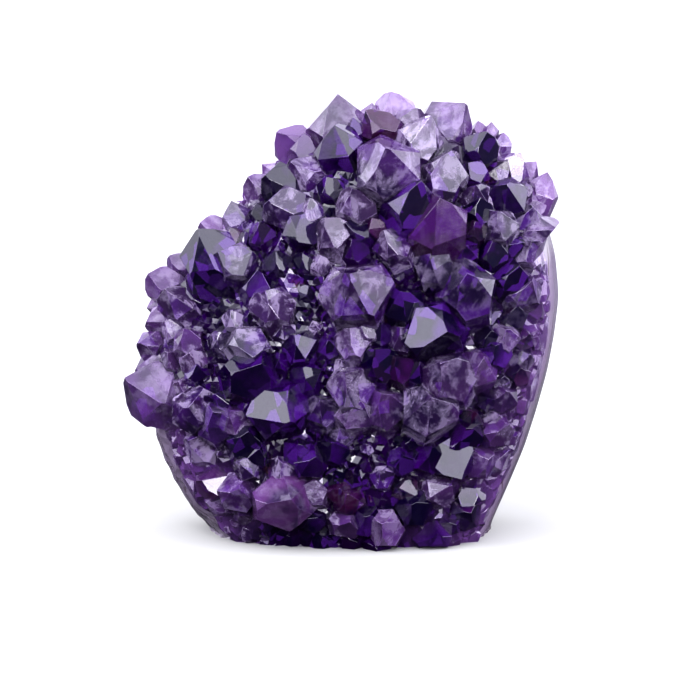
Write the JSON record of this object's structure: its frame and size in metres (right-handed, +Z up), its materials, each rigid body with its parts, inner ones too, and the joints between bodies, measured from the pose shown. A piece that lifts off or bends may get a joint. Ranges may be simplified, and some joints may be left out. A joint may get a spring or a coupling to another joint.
{
  "type": "polished amethyst geode",
  "caption": "Section of an amethyst geode with a domed face of purple quartz crystals, a smooth polished rim and a flat cut base to stand on.",
  "frame": {"origin": "middle of the flat cut base that the geode stands on", "axes": "+Z up, the crystal face looks along -Y, the back is at +Y, and the polished rim that shows in front is at +X"},
  "size_m": [0.1281, 0.0739, 0.1326],
  "materials": {
    "pale_quartz": "polished at the rim, sawn at the base, rough at the back",
    "amethyst": "glossy translucent crystal faces"
  },
  "bodies": {
    "root": {"geode_body": "pale_quartz", "amethyst_crystals": "amethyst"}
  },
  "joints": []
}
